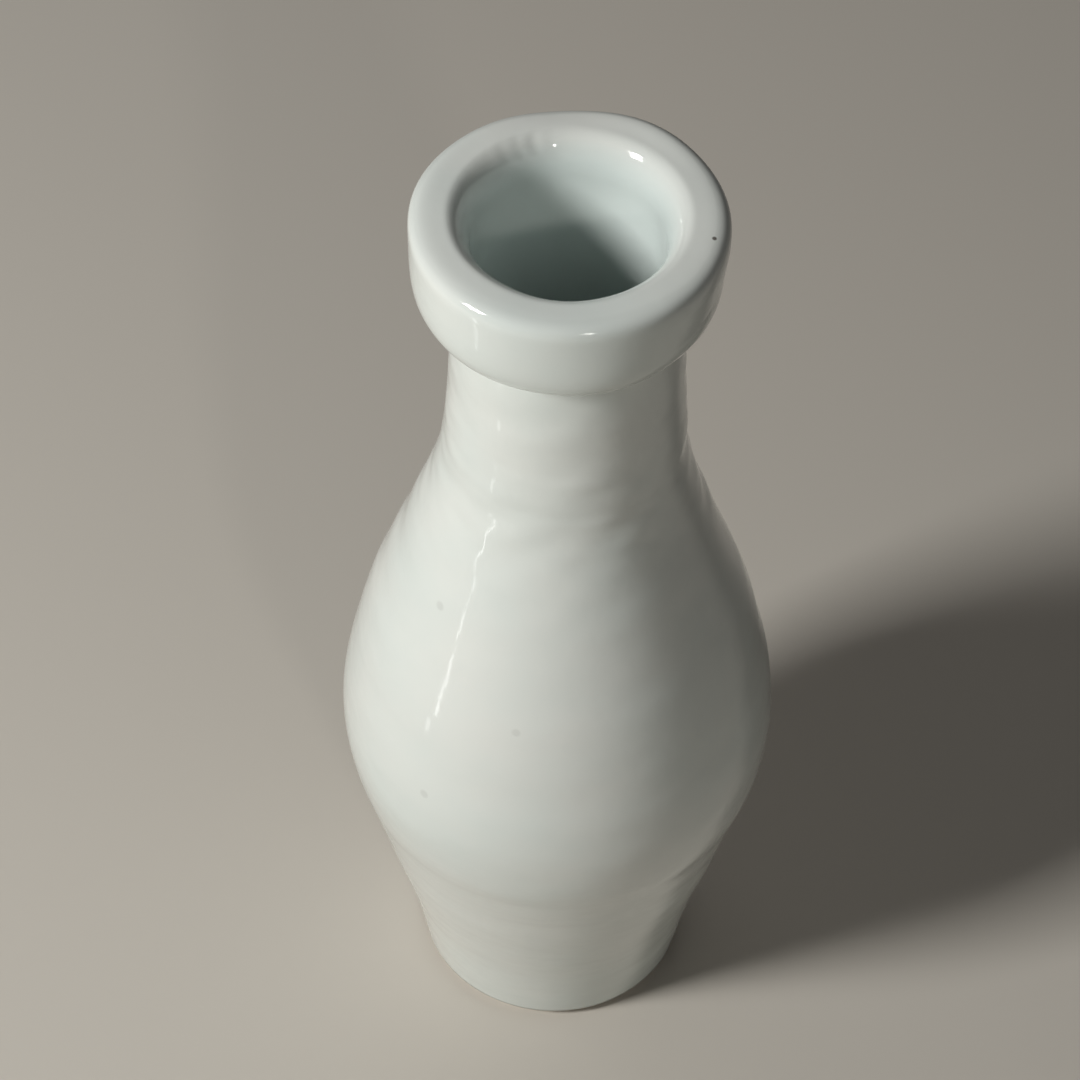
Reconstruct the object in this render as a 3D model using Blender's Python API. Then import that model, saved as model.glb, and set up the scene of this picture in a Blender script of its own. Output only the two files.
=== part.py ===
"""Wheel-thrown porcelain sake bottle: one fired body under a clear pale glaze.

Metres, +Z up. The origin is the centre of the foot ring's contact face, on the
turning axis. Every node is a surface of revolution about +Z. Glaze and body are
drawn inward from one visible surface, so their thicknesses stay even.
"""

import math

import bpy
from mathutils import Vector

# Driving dimensions of the visible, glazed surface.
HEIGHT = 0.1841
LIP_RADIUS = 0.0240
LIP_CROWN_RADIUS = 0.0187
LIP_SHOULDER_DEPTH = 0.0042
LIP_BAND_DEPTH = 0.0167
LIP_HIDDEN_RADIUS = 0.0148
MOUTH_RADIUS = 0.0148
MOUTH_ROLL_DEPTH = 0.0069
WALL = 0.0038

# Outer outline below the lip as (height, radius), foot to neck.
OUTLINE = (
    (0.0000, 0.0236),
    (0.0170, 0.0265),
    (0.0400, 0.0319),
    (0.0670, 0.0371),
    (0.0910, 0.0332),
    (0.1130, 0.0258),
    (0.1310, 0.0203),
    (0.1470, 0.0187),
    (0.1580, 0.0182),
    (0.1700, 0.0179),
)

# How square the lip's rounded quarters are: 2 is an ellipse, more is squarer.
SHOULDER_SQUARENESS = 4.2
UNDERSIDE_SQUARENESS = 4.3
MOUTH_SQUARENESS = 2.0
FLOOR_SQUARENESS = 2.6
ROUND = 2.0

# Foot and floor.
FOOT_EDGE_ROUND = 0.0008
FOOT_INNER_RADIUS = 0.0180
RECESS_HEIGHT = 0.0042
RECESS_FILLET = 0.0016
FLOOR_HEIGHT = 0.0092
FLOOR_ROUND_HEIGHT = 0.0120

# Layers.
GLAZE = 0.0004
GAP = 0.0003
GLAZE_LINE = 0.0020
BASE_GLAZE_LINE = 0.0018
LINER_TOP_DEPTH = 0.0120

# Fineness of the turned meshes.
SEGMENTS = 32
OUTLINE_STEP = 0.0125
LINER_STEP = 0.0160
QUARTER_STEPS = 5

PORCELAIN = (0.78, 0.77, 0.73)
CLEAR_GLAZE = (0.73, 0.77, 0.73)


def clear_scene():
    for obj in list(bpy.data.objects):
        bpy.data.objects.remove(obj, do_unlink=True)


def material(name, colour, roughness):
    made = bpy.data.materials.new(name)
    made.use_nodes = True
    shader = made.node_tree.nodes["Principled BSDF"]
    shader.inputs["Base Color"].default_value = (*colour, 1.0)
    shader.inputs["Roughness"].default_value = roughness
    shader.inputs["Metallic"].default_value = 0.0
    return made


def outline_slope(index):
    """Change of radius with height at an outline point, from its neighbours."""
    below = OUTLINE[max(index - 1, 0)]
    above = OUTLINE[min(index + 1, len(OUTLINE) - 1)]
    return (above[1] - below[1]) / (above[0] - below[0])


def outer_radius(height):
    """Radius of the visible surface: a cubic through the outline's points."""
    index = 0
    while index < len(OUTLINE) - 2 and height > OUTLINE[index + 1][0]:
        index += 1
    (low, low_radius), (high, high_radius) = OUTLINE[index], OUTLINE[index + 1]
    span = high - low
    t = (height - low) / span
    return (
        low_radius * (1 + 2 * t) * (1 - t) ** 2
        + high_radius * (3 - 2 * t) * t**2
        + outline_slope(index) * span * t * (1 - t) ** 2
        - outline_slope(index + 1) * span * (1 - t) * t**2
    )


def quarter(centre, radial, vertical, squareness, steps=QUARTER_STEPS):
    """Superellipse quarter from its vertical end, at centre radius, to its radial end."""
    points = []
    for step in range(steps + 1):
        angle = math.pi / 2 * (1 - step / steps)
        out = math.cos(angle) ** (2 / squareness) if step else 0.0
        rise = math.sin(angle) ** (2 / squareness) if step < steps else 0.0
        points.append((centre[0] + radial * out, centre[1] + vertical * rise))
    return points


def heights_between(top, bottom, step):
    """Heights going down from top to bottom, both left out, about a step apart."""
    count = max(round((top - bottom) / step), 2)
    return [top - (top - bottom) * i / count for i in range(1, count)]


def inside():
    """Visible surface inside: centre of the floor, up the wall, to the mouth roll."""
    wall_foot = FLOOR_HEIGHT + FLOOR_ROUND_HEIGHT
    floor_radius = outer_radius(wall_foot) - WALL
    floor = quarter((0.0, wall_foot), floor_radius, -FLOOR_ROUND_HEIGHT, FLOOR_SQUARENESS)
    roll_foot = HEIGHT - MOUTH_ROLL_DEPTH
    neck_top = HEIGHT - LIP_BAND_DEPTH
    wall = [
        (outer_radius(height) - WALL, height)
        for height in reversed(heights_between(neck_top, wall_foot, LINER_STEP))
    ]
    top = [
        (outer_radius(neck_top) - WALL, neck_top),
        (MOUTH_RADIUS, HEIGHT - LINER_TOP_DEPTH),
        (MOUTH_RADIUS, roll_foot),
    ]
    return floor + wall + top


def lip():
    """Visible surface over the lip, from the mouth roll's crown down to the neck."""
    roll = quarter(
        (LIP_CROWN_RADIUS, HEIGHT - MOUTH_ROLL_DEPTH),
        MOUTH_RADIUS - LIP_CROWN_RADIUS,
        MOUTH_ROLL_DEPTH,
        MOUTH_SQUARENESS,
    )
    shoulder = quarter(
        (LIP_CROWN_RADIUS, HEIGHT - LIP_SHOULDER_DEPTH),
        LIP_RADIUS - LIP_CROWN_RADIUS,
        LIP_SHOULDER_DEPTH,
        SHOULDER_SQUARENESS,
    )
    underside = quarter(
        (LIP_HIDDEN_RADIUS, HEIGHT - LIP_SHOULDER_DEPTH),
        LIP_RADIUS - LIP_HIDDEN_RADIUS,
        LIP_SHOULDER_DEPTH - LIP_BAND_DEPTH,
        UNDERSIDE_SQUARENESS,
    )
    crease = (outer_radius(HEIGHT - LIP_BAND_DEPTH), HEIGHT - LIP_BAND_DEPTH)
    under = [point for point in reversed(underside) if point[0] > crease[0] + 2 * GAP]
    return list(reversed(roll))[1:] + shoulder[1:] + under[1:] + [crease]


def outside():
    """Visible surface from just under the lip down to just above the foot's edge."""
    neck_top = HEIGHT - LIP_BAND_DEPTH
    heights = heights_between(neck_top, GLAZE_LINE, OUTLINE_STEP) + [GLAZE_LINE]
    return [(outer_radius(height), height) for height in heights]


def offset(points, distance):
    """The polyline moved into the material, which lies on its right-hand side."""
    moved = []
    for index, point in enumerate(points):
        before = Vector(points[max(index - 1, 0)])
        here = Vector(point)
        after = Vector(points[min(index + 1, len(points) - 1)])
        along_in = (here - before).normalized() if index else (after - here).normalized()
        along_out = (after - here).normalized() if index < len(points) - 1 else along_in
        normal_in = Vector((along_in.y, -along_in.x))
        normal_out = Vector((along_out.y, -along_out.x))
        middle = (normal_in + normal_out).normalized()
        shift = middle * distance / max(middle.dot(normal_in), 0.5)
        radius = 0.0 if point[0] == 0.0 else here.x + shift.x
        moved.append((radius, here.y + shift.y))
    return moved


def back(points):
    """The hidden face of a glaze coat, running the other way to its visible face."""
    return list(reversed(offset(points, GLAZE)))


def turned(name, section, closed, surface):
    """A node made by turning a section about +Z. The section runs down its outer side."""
    mesh = bpy.data.meshes.new(name)
    vertices = [(radius, 0.0, height) for radius, height in section]
    edges = [(i, i + 1) for i in range(len(section) - 1)]
    if closed:
        edges.append((len(section) - 1, 0))
    mesh.from_pydata(vertices, edges, [])
    obj = bpy.data.objects.new(name, mesh)
    bpy.context.scene.collection.objects.link(obj)
    screw = obj.modifiers.new("Turning", "SCREW")
    screw.axis = "Z"
    screw.angle = 2 * math.pi
    screw.steps = SEGMENTS
    screw.render_steps = SEGMENTS
    screw.use_smooth_shade = True
    screw.use_merge_vertices = True
    screw.merge_threshold = 0.00002
    mesh.materials.append(surface)
    return obj


def recess():
    """Visible surface of the hollow under the foot, from its wall up to its centre."""
    corner = quarter(
        (FOOT_INNER_RADIUS - RECESS_FILLET, RECESS_HEIGHT - RECESS_FILLET),
        RECESS_FILLET,
        RECESS_FILLET,
        ROUND,
        steps=3,
    )
    return [(FOOT_INNER_RADIUS, BASE_GLAZE_LINE)] + list(reversed(corner)) + [(0.0, RECESS_HEIGHT)]


def make_body():
    depth = GLAZE + GAP
    coated = offset(inside() + lip() + outside(), depth)
    foot_outer = coated[-1][0] - outer_radius(GLAZE_LINE) + outer_radius(0.0)
    edge = quarter(
        (foot_outer - FOOT_EDGE_ROUND, FOOT_EDGE_ROUND),
        FOOT_EDGE_ROUND,
        -FOOT_EDGE_ROUND,
        ROUND,
        steps=2,
    )
    hollow = offset(recess(), depth)
    hollow_wall = hollow[0][0]
    inner_edge = [(hollow_wall + FOOT_EDGE_ROUND / 2, 0.0), (hollow_wall, FOOT_EDGE_ROUND / 2)]
    section = coated + list(reversed(edge)) + inner_edge + hollow
    return turned("porcelain_body", section, False, material("porcelain", PORCELAIN, 0.6))


def make_glazes():
    surface = material("clear_glaze", CLEAR_GLAZE, 0.12)
    inner = inside()
    joint = len(inner) - 2  # the point where the poured and the dipped coats meet
    liner = inner[:joint] + [(inner[joint][0], inner[joint][1] - GAP)]
    turned("liner_glaze", liner + back(liner), False, surface)
    outer = inner[joint:] + lip() + outside()
    turned("outer_glaze", outer + back(outer), True, surface)
    turned("base_glaze", back(recess()) + recess(), False, surface)


clear_scene()
make_body()
make_glazes()
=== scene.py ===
"""Looks of the wheel-thrown porcelain sake bottle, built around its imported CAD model.

Metres, +Z up, in the CAD model's frame. The visible glaze is one fine turned skin with
throwing rings, finger waves and an uneven lip. The bare porcelain shows on the foot ring.
Angles round the bottle are measured from +X towards +Y, so the front is at -90 degrees.
"""

import math

import bpy
import numpy as np
from mathutils import Matrix, Vector


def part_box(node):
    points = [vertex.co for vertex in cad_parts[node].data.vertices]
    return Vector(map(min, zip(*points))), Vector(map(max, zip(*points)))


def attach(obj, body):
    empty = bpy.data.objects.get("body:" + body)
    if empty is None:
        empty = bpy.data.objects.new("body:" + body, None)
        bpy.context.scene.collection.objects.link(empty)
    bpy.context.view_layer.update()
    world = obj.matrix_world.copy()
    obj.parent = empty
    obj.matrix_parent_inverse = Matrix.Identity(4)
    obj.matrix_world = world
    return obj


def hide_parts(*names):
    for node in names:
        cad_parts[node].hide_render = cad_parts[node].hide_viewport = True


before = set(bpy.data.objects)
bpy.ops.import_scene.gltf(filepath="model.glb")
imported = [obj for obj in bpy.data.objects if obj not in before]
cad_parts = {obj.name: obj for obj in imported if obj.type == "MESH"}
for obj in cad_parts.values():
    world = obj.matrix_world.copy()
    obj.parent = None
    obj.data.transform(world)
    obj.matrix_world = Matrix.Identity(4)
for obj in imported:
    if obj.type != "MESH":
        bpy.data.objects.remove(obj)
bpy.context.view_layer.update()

MM = 0.001

# Sizes from the frame.
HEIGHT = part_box("outer_glaze")[1].z
GLAZE_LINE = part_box("outer_glaze")[0].z
BASE_GLAZE_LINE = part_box("base_glaze")[0].z

# Sizes of the turned form, as the CAD model has them. The outline is (height, radius).
LIP_RADIUS = 0.0240
LIP_CROWN_RADIUS = 0.0187
LIP_SHOULDER_DEPTH = 0.0042
LIP_BAND_DEPTH = 0.0167
LIP_HIDDEN_RADIUS = 0.0148
MOUTH_RADIUS = 0.0148
MOUTH_ROLL_DEPTH = 0.0069
WALL = 0.0038
OUTLINE = (
    (0.0000, 0.0236),
    (0.0170, 0.0265),
    (0.0400, 0.0319),
    (0.0670, 0.0371),
    (0.0910, 0.0332),
    (0.1130, 0.0258),
    (0.1310, 0.0203),
    (0.1470, 0.0187),
    (0.1580, 0.0182),
    (0.1700, 0.0179),
)
FLOOR_HEIGHT = 0.0092
FLOOR_ROUND_HEIGHT = 0.0120
FOOT_INNER_RADIUS = 0.0180
RECESS_HEIGHT = 0.0042
RECESS_FILLET = 0.0016
NECK_TOP = HEIGHT - LIP_BAND_DEPTH

# A squareness of 2 is a true ellipse, and more is squarer.
ELLIPSE = 2.0
MOUTH_SQUARENESS = 2.0
FLOOR_SQUARENESS = 2.6
SHOULDER_SQUARENESS = 4.2
UNDERSIDE_SQUARENESS = 4.3

# What the fine skins add to that form.
SKIN = 0.45 * MM
BODY_INSET = 0.60 * MM
CREASE_FILLET = 0.9 * MM
FOOT_ROUND = 0.9 * MM
FOOT_CHAMFER = 0.5 * MM
FOOT_CHAMFER_SAG = 0.15 * MM

# Fineness of the skins.
SEGMENTS = 320
ROW_STEP = 0.55 * MM
LIP_ROW_STEP = 0.35 * MM
INSIDE_ROW_STEP = 1.2 * MM
BODY_ROW_STEP = 2.0 * MM
HIDDEN_ROWS = 3
ON_AXIS = 0.001 * MM
HIDDEN_AXIS_GAP = 0.3 * MM


# Lines of the turned form ----------------------------------------------------------------


def spline(points, heights):
    """Cubic through (height, radius) points, with each slope taken from the neighbours."""
    knots, radii = np.array(points).T
    slopes = np.empty(len(points))
    slopes[1:-1] = (radii[2:] - radii[:-2]) / (knots[2:] - knots[:-2])
    slopes[0] = (radii[1] - radii[0]) / (knots[1] - knots[0])
    slopes[-1] = (radii[-1] - radii[-2]) / (knots[-1] - knots[-2])
    index = np.clip(np.searchsorted(knots, heights) - 1, 0, len(points) - 2)
    span = knots[index + 1] - knots[index]
    t = (heights - knots[index]) / span
    return (
        radii[index] * (1 + 2 * t) * (1 - t) ** 2
        + radii[index + 1] * (3 - 2 * t) * t**2
        + slopes[index] * span * t * (1 - t) ** 2
        - slopes[index + 1] * span * (1 - t) * t**2
    )


def outer_radius(heights):
    return spline(OUTLINE, np.asarray(heights, float))


def quarter(centre, radial, vertical, squareness, steps):
    """Superellipse quarter from its vertical end, at centre radius, to its radial end."""
    angle = np.linspace(np.pi / 2, 0, steps + 1)
    out = np.clip(np.cos(angle), 0, 1) ** (2 / squareness)
    rise = np.clip(np.sin(angle), 0, 1) ** (2 / squareness)
    out[0] = 0.0
    rise[-1] = 0.0
    return np.column_stack((centre[0] + radial * out, centre[1] + vertical * rise))


def evenly(points, step):
    """The polyline sampled again at even steps of about this length."""
    lengths = np.hypot(*np.diff(points, axis=0).T)
    along = np.concatenate(([0.0], np.cumsum(lengths)))
    count = max(int(round(along[-1] / step)), 2)
    places = np.linspace(0, along[-1], count + 1)
    return np.column_stack([np.interp(places, along, points[:, k]) for k in (0, 1)])


def normals(points):
    """Unit normals of a polyline, on its left-hand side: away from the material."""
    along = np.gradient(points, axis=0)
    along /= np.hypot(*along.T)[:, None]
    return np.column_stack((-along[:, 1], along[:, 0]))


def bump_at(value, centre, width):
    return np.exp(-(((value - centre) / width) ** 2))


def fade(value, start, run):
    """Smooth step from 0 at the start to 1 a run further on."""
    t = np.clip((value - start) / run, 0, 1)
    return t * t * (3 - 2 * t)


def inside_line():
    """Visible surface inside, from the centre of the floor up to the mouth roll's foot."""
    wall_foot = FLOOR_HEIGHT + FLOOR_ROUND_HEIGHT
    floor_radius = float(outer_radius(wall_foot)) - WALL
    floor = quarter((0.0, wall_foot), floor_radius, -FLOOR_ROUND_HEIGHT, FLOOR_SQUARENESS, steps=60)
    heights = np.linspace(wall_foot, NECK_TOP, num=200)[1:]
    wall = np.column_stack((outer_radius(heights) - WALL, heights))
    top = np.linspace(NECK_TOP, HEIGHT - MOUTH_ROLL_DEPTH, num=12)[1:]
    blend = fade(top, NECK_TOP, top[-1] - NECK_TOP)
    radii = wall[-1, 0] * (1 - blend) + MOUTH_RADIUS * blend
    return np.vstack((floor, wall, np.column_stack((radii, top))))


def lip_line():
    """Visible surface over the lip, from the mouth roll's foot to the crease at the neck."""
    roll = quarter(
        (LIP_CROWN_RADIUS, HEIGHT - MOUTH_ROLL_DEPTH),
        MOUTH_RADIUS - LIP_CROWN_RADIUS,
        MOUTH_ROLL_DEPTH,
        MOUTH_SQUARENESS,
        steps=60,
    )
    shoulder = quarter(
        (LIP_CROWN_RADIUS, HEIGHT - LIP_SHOULDER_DEPTH),
        LIP_RADIUS - LIP_CROWN_RADIUS,
        LIP_SHOULDER_DEPTH,
        SHOULDER_SQUARENESS,
        steps=80,
    )
    underside = quarter(
        (LIP_HIDDEN_RADIUS, HEIGHT - LIP_SHOULDER_DEPTH),
        LIP_RADIUS - LIP_HIDDEN_RADIUS,
        LIP_SHOULDER_DEPTH - LIP_BAND_DEPTH,
        UNDERSIDE_SQUARENESS,
        steps=80,
    )[::-1]
    neck = float(outer_radius(NECK_TOP))
    under = underside[underside[:, 0] > neck + CREASE_FILLET]
    start = under[-1]
    end = np.array((neck, start[1] - CREASE_FILLET))
    corner = np.array((neck, start[1]))
    t = np.linspace(0, 1, num=8)[1:, None]
    fillet = (1 - t) ** 2 * start + 2 * t * (1 - t) * corner + t**2 * end
    return np.vstack((roll[::-1][1:], shoulder[1:], under[1:], fillet))


def outside_line(top):
    """Visible surface from the crease down to the glaze line."""
    heights = np.linspace(top, GLAZE_LINE, num=300)[1:]
    return np.column_stack((outer_radius(heights), heights))


def skin_line():
    """The whole visible line: up the inside, over the lip at its finest, down the outside."""
    lip = lip_line()
    inside = inside_line()
    outside = outside_line(lip[-1, 1])
    inside = evenly(inside, INSIDE_ROW_STEP)
    lip = evenly(np.vstack((inside[-1:], lip, outside[:1])), LIP_ROW_STEP)
    outside = evenly(outside, ROW_STEP)
    return np.vstack((inside, lip[1:], outside[1:]))


# Relief of the thrown surface ------------------------------------------------------------

WAVE_COUNT = 26


def smooth_noise(seed, waves, lengths):
    """A function of angle and height: waves that close round the bottle, rms about 1.

    waves is the least and most waves round the bottle, and lengths is their range of
    length up it.
    """
    draw = np.random.default_rng(seed)
    around = draw.integers(waves[0], waves[1] + 1, WAVE_COUNT)
    length = draw.uniform(*lengths, WAVE_COUNT)
    phase = draw.uniform(0, 2 * np.pi, WAVE_COUNT)
    gain = draw.uniform(0.5, 1.0, WAVE_COUNT)
    gain /= math.sqrt((gain**2).sum() / 2)
    length *= draw.choice((-1, 1), WAVE_COUNT)

    def value(angle, height):
        total = np.zeros(np.broadcast(angle, height).shape)
        for k in range(WAVE_COUNT):
            turned = around[k] * angle + 2 * np.pi * height / length[k] + phase[k]
            total += gain[k] * np.cos(turned)
        return total

    return value


coarse_rings = smooth_noise(11, (0, 1), (7 * MM, 16 * MM))
fine_rings = smooth_noise(12, (0, 2), (2.8 * MM, 5.0 * MM))
finger_waves = smooth_noise(13, (1, 5), (9 * MM, 24 * MM))
glaze_waves = smooth_noise(14, (4, 14), (5 * MM, 14 * MM))
lip_waves = smooth_noise(15, (2, 7), (30 * MM, 60 * MM))
crawl = smooth_noise(16, (8, 45), (1.6 * MM, 2.6 * MM))

# Relief everywhere, more of it above the low belly, and more again where the neck widens.
RING_RELIEF = (0.004 * MM, 0.010 * MM, 0.026 * MM)
FINE_RING_RELIEF = (0.002 * MM, 0.0, 0.011 * MM)
FINGER_RELIEF = (0.010 * MM, 0.020 * MM, 0.024 * MM)
GLAZE_RELIEF = (0.007 * MM, 0.0, 0.030 * MM)
LOW_BELLY, LOW_BELLY_RUN = 30 * MM, 45 * MM
NECK_BASE, NECK_BASE_WIDTH = 137 * MM, 15 * MM
BELT_FOOT, BELT_FOOT_RUN = 50 * MM, 7 * MM
BELT, BELT_WIDTH = 57 * MM, 12 * MM
BELT_RELIEF = 0.16 * MM
OUT_OF_ROUND = 0.10 * MM
OUT_OF_ROUND_TURN = 0.6

# The lip: direction in degrees and width in radians of each unevenness, and its size.
LIP_THIN_SIDE, LIP_THINNING = (-15, 0.75), 0.62 * MM
LIP_FLAT_SIDE, LIP_FLATTENING = (98, 0.35), 0.36 * MM
LIP_FULL_SIDE, LIP_FULLNESS = (57, 0.45), 0.28 * MM
LIP_WRINKLE_SIDE, LIP_WRINKLES = (118, 0.30), 0.02 * MM
LIP_WRINKLE_RADIUS, LIP_WRINKLE_WIDTH = 17.0 * MM, 1.4 * MM
LIP_WRINKLE_DEPTH = 4 * MM
LIP_WAVE_RELIEF = 0.06 * MM
LIP_THINNING_RUN = 6 * MM
LIP_EDGE_RUN = 4 * MM
LIP_RISE = 0.40 * MM

# Where the lip's relief takes over, below the top of the neck, and over what height.
LIP_START_OUTSIDE, LIP_RUN_OUTSIDE = 1.0 * MM, 3 * MM
LIP_START_INSIDE, LIP_RUN_INSIDE = 4 * MM, 14 * MM

# The inside has half of the outside's relief, turned round, and a calm floor.
INSIDE_RELIEF = 0.5
INSIDE_TURN = 1.0
CALM_FLOOR_RADIUS = 8 * MM

NECK_DRIFT = 0.25 * MM
NECK_DRIFT_HEIGHT, NECK_DRIFT_WIDTH = 150 * MM, 20 * MM


def outer_relief(angle, height):
    """How far the outside stands out of the true turned form."""
    low = fade(height, LOW_BELLY, LOW_BELLY_RUN)
    neck_base = bump_at(height, NECK_BASE, NECK_BASE_WIDTH)
    belt = fade(height, BELT_FOOT, BELT_FOOT_RUN) * bump_at(height, BELT, BELT_WIDTH)
    total = OUT_OF_ROUND * np.cos(2 * angle + OUT_OF_ROUND_TURN + height / HEIGHT)
    total += BELT_RELIEF * belt
    for waves, (plain, upper, at_neck) in (
        (coarse_rings, RING_RELIEF),
        (fine_rings, FINE_RING_RELIEF),
        (finger_waves, FINGER_RELIEF),
        (glaze_waves, GLAZE_RELIEF),
    ):
        total += waves(angle, height) * (plain + upper * low + at_neck * neck_base)
    return total


def near(angle, degrees, width):
    """1 in a direction in degrees, falling to 0 over about this width in radians."""
    turn = (angle - math.radians(degrees) + np.pi) % (2 * np.pi) - np.pi
    return bump_at(turn, 0, width)


def lip_relief(angle, radius, height):
    """How far the lip stands out: thinner on the right, flat behind, and wavy."""
    shoulder = HEIGHT - LIP_SHOULDER_DEPTH
    below_shoulder = np.clip((shoulder - height) / LIP_THINNING_RUN, 0, 1)
    outer = fade(radius, LIP_CROWN_RADIUS, LIP_EDGE_RUN)
    thin = LIP_THINNING * near(angle, *LIP_THIN_SIDE) * below_shoulder
    flat = LIP_FLATTENING * near(angle, *LIP_FLAT_SIDE) * (1 - below_shoulder)
    full = LIP_FULLNESS * near(angle, *LIP_FULL_SIDE)
    relief = LIP_WAVE_RELIEF * lip_waves(angle, radius + height) + outer * (full - thin - flat)
    if height > HEIGHT - LIP_WRINKLE_DEPTH:
        band = bump_at(radius, LIP_WRINKLE_RADIUS, LIP_WRINKLE_WIDTH)
        wrinkled = near(angle, *LIP_WRINKLE_SIDE) * band
        relief += LIP_WRINKLES * crawl(angle, height - radius) * wrinkled
    return relief


def lip_rise(angle):
    """The lip stands a little higher behind than in front."""
    return LIP_RISE * (1 + np.sin(angle)) / 2


def axis_drift(height):
    """Sideways shift of the turning axis, as a hand-thrown neck wanders."""
    return NECK_DRIFT * bump_at(height, NECK_DRIFT_HEIGHT, NECK_DRIFT_WIDTH)


# Meshes ----------------------------------------------------------------------------------


def add_object(name, data):
    obj = bpy.data.objects.new(name, data)
    bpy.context.scene.collection.objects.link(obj)
    return obj


def turned_mesh(name, rings):
    """A closed mesh from rings of points. A ring of one point lies on the axis."""
    starts = np.cumsum([0] + [len(ring) for ring in rings])
    turn = np.arange(SEGMENTS)
    onward = (turn + 1) % SEGMENTS
    faces = []
    for k in range(len(rings) - 1):
        upper, lower = starts[k], starts[k + 1]
        if len(rings[k]) == 1:
            corners = (np.full(SEGMENTS, upper), lower + turn, lower + onward)
        elif len(rings[k + 1]) == 1:
            corners = (upper + onward, upper + turn, np.full(SEGMENTS, lower))
        else:
            corners = (upper + turn, lower + turn, lower + onward, upper + onward)
        faces += np.column_stack(corners).tolist()
    mesh = bpy.data.meshes.new(name)
    mesh.from_pydata(np.vstack(rings).tolist(), [], faces)
    mesh.shade_smooth()
    return add_object(name, mesh)


def ring_angles():
    return np.linspace(0, 2 * np.pi, SEGMENTS, endpoint=False)


def ring_of(radius, height):
    angle = ring_angles()
    radius = np.broadcast_to(radius, angle.shape)
    height = np.broadcast_to(height, angle.shape)
    return np.column_stack((radius * np.cos(angle), radius * np.sin(angle), height))


def axis_point(height):
    return np.array([(0.0, 0.0, height)])


def glazed_ring(angle, point, normal, inside):
    """One ring of the visible glaze, with its relief, from a point of the true line."""
    radius, height = point
    if inside:
        on_lip = fade(height, NECK_TOP - LIP_START_INSIDE, LIP_RUN_INSIDE)
        relief = INSIDE_RELIEF * outer_relief(angle + INSIDE_TURN, height)
        relief *= (1 - on_lip) * fade(radius, 0, CALM_FLOOR_RADIUS)
    else:
        on_lip = fade(height, NECK_TOP - LIP_START_OUTSIDE, LIP_RUN_OUTSIDE)
        relief = outer_relief(angle, height) * (1 - on_lip)
    relief += on_lip * lip_relief(angle, radius, height)
    out = normal[0] * relief
    up = normal[1] * relief + on_lip * lip_rise(angle)
    ring = ring_of(radius + out, height + up)
    if not inside:
        ring[:, 0] += axis_drift(height)
    return ring


def make_glazed_bottle():
    """The visible glaze inside and out, closed by a smooth hidden back."""
    line = skin_line()
    normal = normals(line)
    angle = ring_angles()
    crown = int(np.argmax(line[:, 1]))
    rings = []
    for k, point in enumerate(line):
        if point[0] < ON_AXIS:
            rings.append(axis_point(point[1]))
        else:
            rings.append(glazed_ring(angle, point, normal[k], inside=k <= crown))
    rings.append(ring_of(*(line[-1] - normal[-1] * SKIN)))
    hidden = (line - normal * SKIN)[::HIDDEN_ROWS]
    for radius, height in hidden[::-1][1:]:
        if radius >= HIDDEN_AXIS_GAP:
            rings.append(ring_of(radius, height))
    rings.append(axis_point(line[0, 1] - SKIN))
    return turned_mesh("glazed_bottle", rings)


def make_bare_body():
    """The porcelain behind the glaze, which shows only on the foot ring."""
    line = evenly(skin_line(), BODY_ROW_STEP)
    inset = line - normals(line) * BODY_INSET
    inset[0] = (0.0, FLOOR_HEIGHT - BODY_INSET)
    edge_radius = float(outer_radius(0.0)) - BODY_INSET - FOOT_ROUND
    edge = quarter((edge_radius, FOOT_ROUND), FOOT_ROUND, -FOOT_ROUND, ELLIPSE, steps=8)
    inner_wall = FOOT_INNER_RADIUS + BODY_INSET
    chamfer = (
        (inner_wall + FOOT_CHAMFER, 0.0),
        (inner_wall + FOOT_CHAMFER_SAG, FOOT_CHAMFER_SAG),
        (inner_wall, FOOT_CHAMFER),
    )
    top = RECESS_HEIGHT + BODY_INSET
    wall_top = top - RECESS_FILLET
    wall = [(inner_wall, h) for h in np.linspace(FOOT_CHAMFER, wall_top, num=6)[1:]]
    fillet_radius = inner_wall - RECESS_FILLET
    fillet = quarter((fillet_radius, wall_top), RECESS_FILLET, RECESS_FILLET, ELLIPSE, steps=6)
    section = np.vstack((inset, edge[::-1], chamfer, wall, fillet[::-1][1:], [(0.0, top)]))
    rings = []
    for radius, height in section:
        if radius < ON_AXIS:
            rings.append(axis_point(height))
        else:
            rings.append(ring_of(radius, height))
    return turned_mesh("bare_body", rings)


def make_base_glaze():
    """The glaze in the recess inside the foot ring."""
    flat_radius = FOOT_INNER_RADIUS - RECESS_FILLET
    wall_top = RECESS_HEIGHT - RECESS_FILLET
    fillet = quarter((flat_radius, wall_top), RECESS_FILLET, RECESS_FILLET, ELLIPSE, steps=12)
    wall = [(FOOT_INNER_RADIUS, h) for h in np.linspace(BASE_GLAZE_LINE, wall_top, num=4)[:-1]]
    flat = [(r, RECESS_HEIGHT) for r in np.linspace(flat_radius, 0, num=40)[1:-1]]
    seen = np.vstack((wall, fillet[::-1], flat))
    hidden = seen - normals(seen) * SKIN
    rings = [axis_point(RECESS_HEIGHT + SKIN)]
    rings += [ring_of(r, h) for r, h in hidden[::-1]]
    rings += [ring_of(r, h) for r, h in seen]
    rings.append(axis_point(RECESS_HEIGHT))
    return turned_mesh("base_glaze_coat", rings)


# Materials -------------------------------------------------------------------------------

GLAZE_PALE = (0.800, 0.825, 0.785)
GLAZE_COOL = (0.745, 0.800, 0.765)
GLAZE_POOLED = (0.700, 0.770, 0.745)
PEEL_DEPTH = 0.012 * MM
GLAZE_SWELL_DEPTH = 0.06 * MM
IRON = (0.075, 0.060, 0.045)
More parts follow.
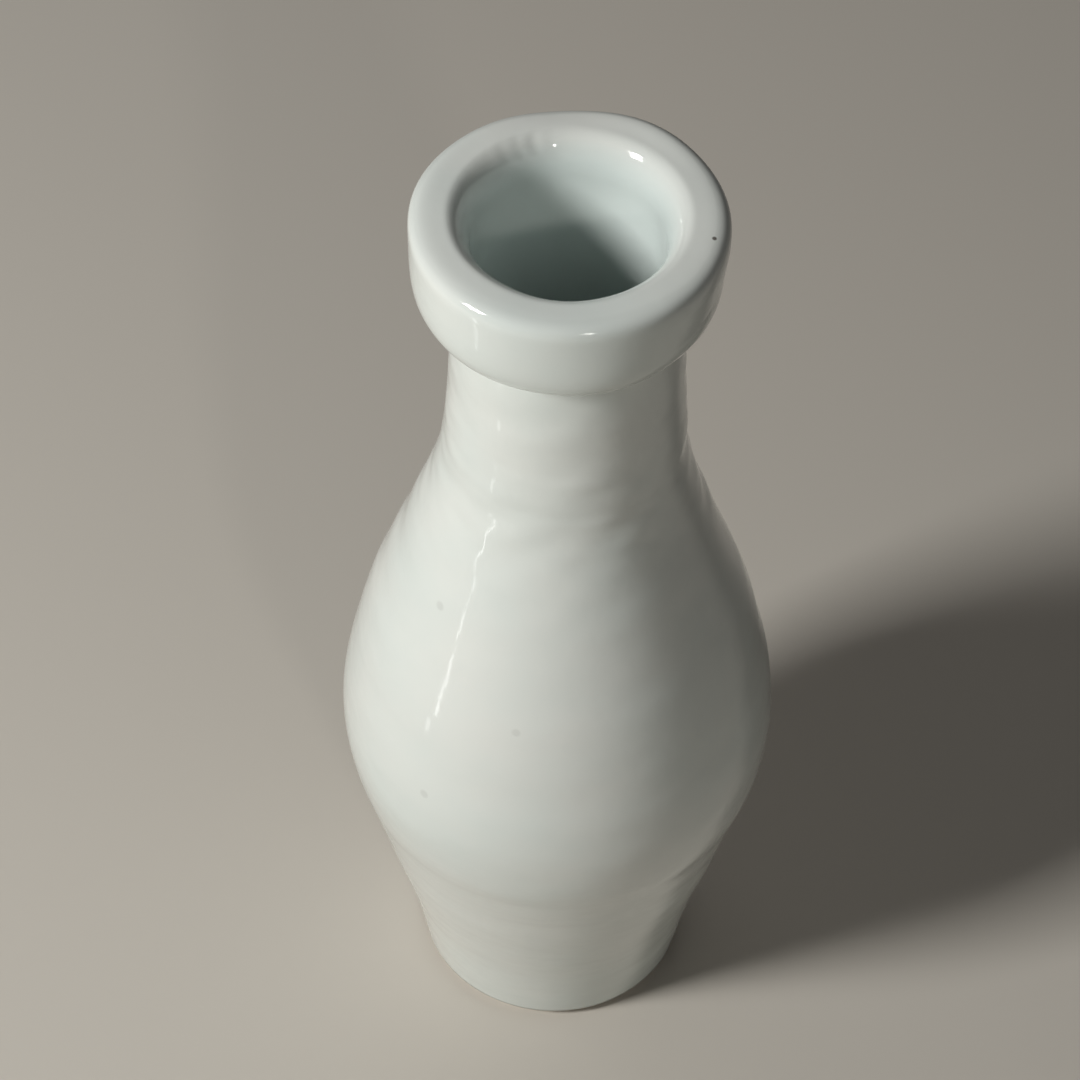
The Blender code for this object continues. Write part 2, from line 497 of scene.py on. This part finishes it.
# Iron specks in the glaze: place, radius and strength.
SPECKS = (
    ((0.0213, -0.0043, 0.1842), 0.00045, 0.90),
    ((-0.0192, -0.0173, 0.1127), 0.0010, 0.12),
    ((-0.0065, -0.0307, 0.0971), 0.0009, 0.10),
    ((-0.0218, -0.0290, 0.0771), 0.0010, 0.12),
    ((0.0190, 0.0240, 0.1040), 0.0005, 0.45),
    ((-0.0300, 0.0190, 0.0820), 0.0004, 0.50),
    ((0.0050, 0.0300, 0.0420), 0.0005, 0.40),
)
SPECK_CORE = 0.55

# The glaze pools in the bore, in the crease under the lip, and a little at the foot.
POOLED_FROM_RADIUS, POOLED_FULL_RADIUS = 0.0168, 0.0150
CREASE_BELOW, CREASE_ABOVE, CREASE_CORE = 2.5 * MM, 2.0 * MM, 0.2 * MM
CREASE_POOLING = 0.8
FOOT_POOLED_FROM, FOOT_POOLED_FULL = 9 * MM, 2.5 * MM
FOOT_POOLING = 0.3

PORCELAIN_DARK = (0.70, 0.67, 0.61)
PORCELAIN_PALE = (0.76, 0.74, 0.69)
PORCELAIN_GRAIN_DEPTH = 0.15 * MM

FLOOR_PALE = (0.640, 0.605, 0.545)
FLOOR_WARM = (0.620, 0.580, 0.515)


class Nodes:
    """Short helper for building a material's node tree."""

    def __init__(self, name):
        self.material = bpy.data.materials.new(name)
        self.material.use_nodes = True
        self.tree = self.material.node_tree
        self.shader = self.tree.nodes["Principled BSDF"]
        self.place = self.tree.nodes.new("ShaderNodeTexCoord").outputs["Object"]

    def link(self, source, target):
        self.tree.links.new(source, target)

    def shade(self, name, value):
        self.link(value, self.shader.inputs[name])

    def add(self, kind, **settings):
        node = self.tree.nodes.new(kind)
        for key, value in settings.items():
            setattr(node, key, value)
        return node

    def noise(self, scale, detail=2.0, roughness=0.5, stretch=(1, 1, 1)):
        mapping = self.add("ShaderNodeMapping")
        mapping.inputs["Scale"].default_value = stretch
        self.link(self.place, mapping.inputs["Vector"])
        node = self.add("ShaderNodeTexNoise")
        node.inputs["Scale"].default_value = scale
        node.inputs["Detail"].default_value = detail
        node.inputs["Roughness"].default_value = roughness
        self.link(mapping.outputs["Vector"], node.inputs["Vector"])
        return node.outputs["Fac"]

    def spread(self, value, low, high, to_low=0.0, to_high=1.0):
        """The value from low to high, spread over to_low to to_high and held there."""
        node = self.add("ShaderNodeMapRange")
        node.inputs["From Min"].default_value = low
        node.inputs["From Max"].default_value = high
        node.inputs["To Min"].default_value = to_low
        node.inputs["To Max"].default_value = to_high
        self.link(value, node.inputs["Value"])
        return node.outputs["Result"]

    def mix(self, factor, first, second):
        """From the first colour to the second. Each is a tuple or another node's colour."""
        node = self.add("ShaderNodeMix", data_type="RGBA")
        self.link(factor, node.inputs["Factor"])
        for value, key in ((first, "A"), (second, "B")):
            socket = [s for s in node.inputs if s.name == key and s.type == "RGBA"][0]
            if isinstance(value, tuple):
                socket.default_value = (*value, 1.0)
            else:
                self.link(value, socket)
        return [s for s in node.outputs if s.type == "RGBA"][0]

    def math(self, operation, first, second=None):
        node = self.add("ShaderNodeMath", operation=operation)
        for socket, value in zip(node.inputs, (first, second)):
            if isinstance(value, (int, float)):
                socket.default_value = value
            elif value is not None:
                self.link(value, socket)
        return node.outputs["Value"]

    def bump(self, height, distance, over=None):
        """Normals from a height, on top of another bump's normals if there are any."""
        node = self.add("ShaderNodeBump")
        node.inputs["Strength"].default_value = 1.0
        node.inputs["Distance"].default_value = distance
        self.link(height, node.inputs["Height"])
        if over is not None:
            self.link(over, node.inputs["Normal"])
        return node.outputs["Normal"]


def speck_mask(m, place, radius):
    """0 from one radius away, and 1 in the core."""
    gap = m.add("ShaderNodeVectorMath", operation="DISTANCE")
    m.link(m.place, gap.inputs[0])
    gap.inputs[1].default_value = place
    return m.spread(gap.outputs["Value"], radius, SPECK_CORE * radius)


def pooled_mask(m):
    """Where the glaze lies thick."""
    split = m.add("ShaderNodeSeparateXYZ")
    m.link(m.place, split.inputs[0])
    height = split.outputs["Z"]
    across = m.math("POWER", split.outputs["X"], 2.0)
    deep = m.math("POWER", split.outputs["Y"], 2.0)
    radius = m.math("SQRT", m.math("ADD", across, deep))
    bore = m.spread(radius, POOLED_FROM_RADIUS, POOLED_FULL_RADIUS)
    below = m.spread(height, NECK_TOP - CREASE_BELOW, NECK_TOP - CREASE_CORE)
    above = m.spread(height, NECK_TOP + CREASE_ABOVE, NECK_TOP + CREASE_CORE)
    crease = m.math("MULTIPLY", m.math("MULTIPLY", below, above), CREASE_POOLING)
    foot = m.spread(height, FOOT_POOLED_FROM, FOOT_POOLED_FULL, 0.0, FOOT_POOLING)
    return m.math("MAXIMUM", m.math("MAXIMUM", bore, crease), foot)


def glaze_material():
    m = Nodes("clear_glaze_fine")
    drift = m.spread(m.noise(scale=28, detail=3, roughness=0.55), 0.35, 0.65)
    streaks = m.noise(scale=45, detail=3, roughness=0.6, stretch=(0.6, 0.6, 3.0))
    brushed = m.spread(streaks, 0.40, 0.75, to_high=0.5)
    colour = m.mix(m.math("MAXIMUM", drift, brushed), GLAZE_PALE, GLAZE_COOL)
    colour = m.mix(pooled_mask(m), colour, GLAZE_POOLED)
    for place, radius, strength in SPECKS:
        mask = m.math("MULTIPLY", speck_mask(m, place, radius), strength)
        colour = m.mix(mask, colour, IRON)
    m.shade("Base Color", colour)
    flow = m.noise(scale=160, detail=3)
    m.shade("Roughness", m.spread(flow, 0.3, 0.7, to_low=0.05, to_high=0.12))
    peel = m.bump(m.noise(scale=520), PEEL_DEPTH)
    swell = m.noise(scale=150, stretch=(1, 1, 1.6))
    m.shade("Normal", m.bump(swell, GLAZE_SWELL_DEPTH, over=peel))
    m.shader.inputs["IOR"].default_value = 1.5
    return m.material


def porcelain_material():
    m = Nodes("bare_porcelain_fine")
    grain = m.noise(scale=900, detail=4, roughness=0.6)
    mottle = m.spread(m.noise(scale=140, detail=4), 0.35, 0.65)
    m.shade("Base Color", m.mix(mottle, PORCELAIN_DARK, PORCELAIN_PALE))
    m.shade("Roughness", m.spread(grain, 0.3, 0.7, to_low=0.55, to_high=0.8))
    m.shade("Normal", m.bump(grain, PORCELAIN_GRAIN_DEPTH))
    return m.material


def floor_material():
    m = Nodes("studio_floor")
    m.shade("Base Color", m.mix(m.noise(scale=3), FLOOR_PALE, FLOOR_WARM))
    m.shader.inputs["Roughness"].default_value = 0.8
    return m.material


# Camera, floor and lights ----------------------------------------------------------------

CAMERA_LENS = 110.0
CAMERA_PITCH = 0.87389
CAMERA_YAW = -0.00644
CAMERA_ROLL = 0.02592
CAMERA_BACK = 0.3491
CAMERA_ABOVE = 0.34215

FLOOR_HALF = 3.0
SKY = (0.9, 0.93, 1.0, 1.0)
SKY_STRENGTH = 0.016

# Thin lamps low on the left, for the glint down the belly.
GLINT_WIDTH = 0.007
GLINT_HEIGHT = 0.003


def make_camera():
    """A long lens from above the front, tilted a little, as the bottle was seen."""
    data = bpy.data.cameras.new("camera")
    data.lens = CAMERA_LENS
    data.sensor_width = 36.0
    data.clip_start = 0.01
    camera = add_object("camera", data)
    level = Vector((0, math.cos(CAMERA_PITCH), -math.sin(CAMERA_PITCH)))
    side = Vector((1, 0, 0))
    rise = Vector((0, math.sin(CAMERA_PITCH), math.cos(CAMERA_PITCH)))
    forward = level * math.cos(CAMERA_YAW) + side * math.sin(CAMERA_YAW)
    across = side * math.cos(CAMERA_YAW) - level * math.sin(CAMERA_YAW)
    right = across * math.cos(CAMERA_ROLL) + rise * math.sin(CAMERA_ROLL)
    up = rise * math.cos(CAMERA_ROLL) - across * math.sin(CAMERA_ROLL)
    turn = Matrix((right, up, -forward)).transposed().to_4x4()
    camera.matrix_world = Matrix.Translation((0, -CAMERA_BACK, HEIGHT + CAMERA_ABOVE)) @ turn
    bpy.context.scene.camera = camera


def rectangle_light(name, size, power, colour=(1, 1, 1)):
    """A lamp that the camera doesn't see."""
    data = bpy.data.lights.new(name, "AREA")
    data.shape = "RECTANGLE"
    data.size, data.size_y = size
    data.energy = power
    data.color = colour
    obj = add_object(name, data)
    obj.visible_camera = False
    return obj


def aim_light(obj, azimuth, elevation, distance, target=(0, 0, 0.1)):
    """Stands a lamp in a direction in degrees from its target, and turns it to face it."""
    a, e = math.radians(azimuth), math.radians(elevation)
    away = Vector((math.cos(e) * math.cos(a), math.cos(e) * math.sin(a), math.sin(e)))
    obj.location = Vector(target) + away * distance
    obj.rotation_euler = (-away).to_track_quat("-Z", "Y").to_euler()


def glint_strip(name, degrees, near_end, far_end, power):
    """A thin lamp that lies along a direction from the axis and faces up."""
    obj = rectangle_light(name, (far_end - near_end, GLINT_WIDTH), power)
    turn = math.radians(degrees)
    middle = (near_end + far_end) / 2
    obj.location = (middle * math.cos(turn), middle * math.sin(turn), GLINT_HEIGHT)
    obj.rotation_euler = (math.pi, 0, turn)


def make_floor():
    mesh = bpy.data.meshes.new("floor")
    signs = ((-1, -1), (1, -1), (1, 1), (-1, 1))
    corners = [(x * FLOOR_HALF, y * FLOOR_HALF, 0) for x, y in signs]
    mesh.from_pydata(corners, [], [(0, 1, 2, 3)])
    mesh.materials.append(floor_material())
    floor = add_object("floor", mesh)


def make_lights():
    world = bpy.data.worlds.new("studio")
    bpy.context.scene.world = world
    world.use_nodes = True
    sky = world.node_tree.nodes["Background"]
    sky.inputs["Color"].default_value = SKY
    sky.inputs["Strength"].default_value = SKY_STRENGTH
    key = rectangle_light("key", size=(0.18, 0.25), power=6.6, colour=(1.0, 0.99, 0.97))
    aim_light(key, azimuth=207, elevation=35, distance=0.9)
    wall = rectangle_light("wall", size=(1.2, 1.0), power=1.7, colour=(1.0, 0.97, 0.93))
    aim_light(wall, azimuth=105, elevation=40, distance=1.3)
    spot = rectangle_light("spot", size=(0.07, 0.07), power=0.9, colour=(1.0, 0.97, 0.92))
    aim_light(spot, azimuth=285, elevation=26, distance=1.0, target=(0, 0, HEIGHT))
    glint_strip("near_glint", 207, near_end=0.180, far_end=0.215, power=0.0016)
    glint_strip("far_glint", 210, near_end=0.240, far_end=0.370, power=0.0140)


make_camera()
make_floor()
bpy.context.scene.view_settings.view_transform = "Standard"
make_lights()

bottle = make_glazed_bottle()
bottle.data.materials.append(glaze_material())
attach(bottle, "root")
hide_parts("outer_glaze", "liner_glaze")

body = make_bare_body()
body.data.materials.append(porcelain_material())
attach(body, "root")
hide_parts("porcelain_body")

base = make_base_glaze()
base.data.materials.append(glaze_material())
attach(base, "root")
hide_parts("base_glaze")
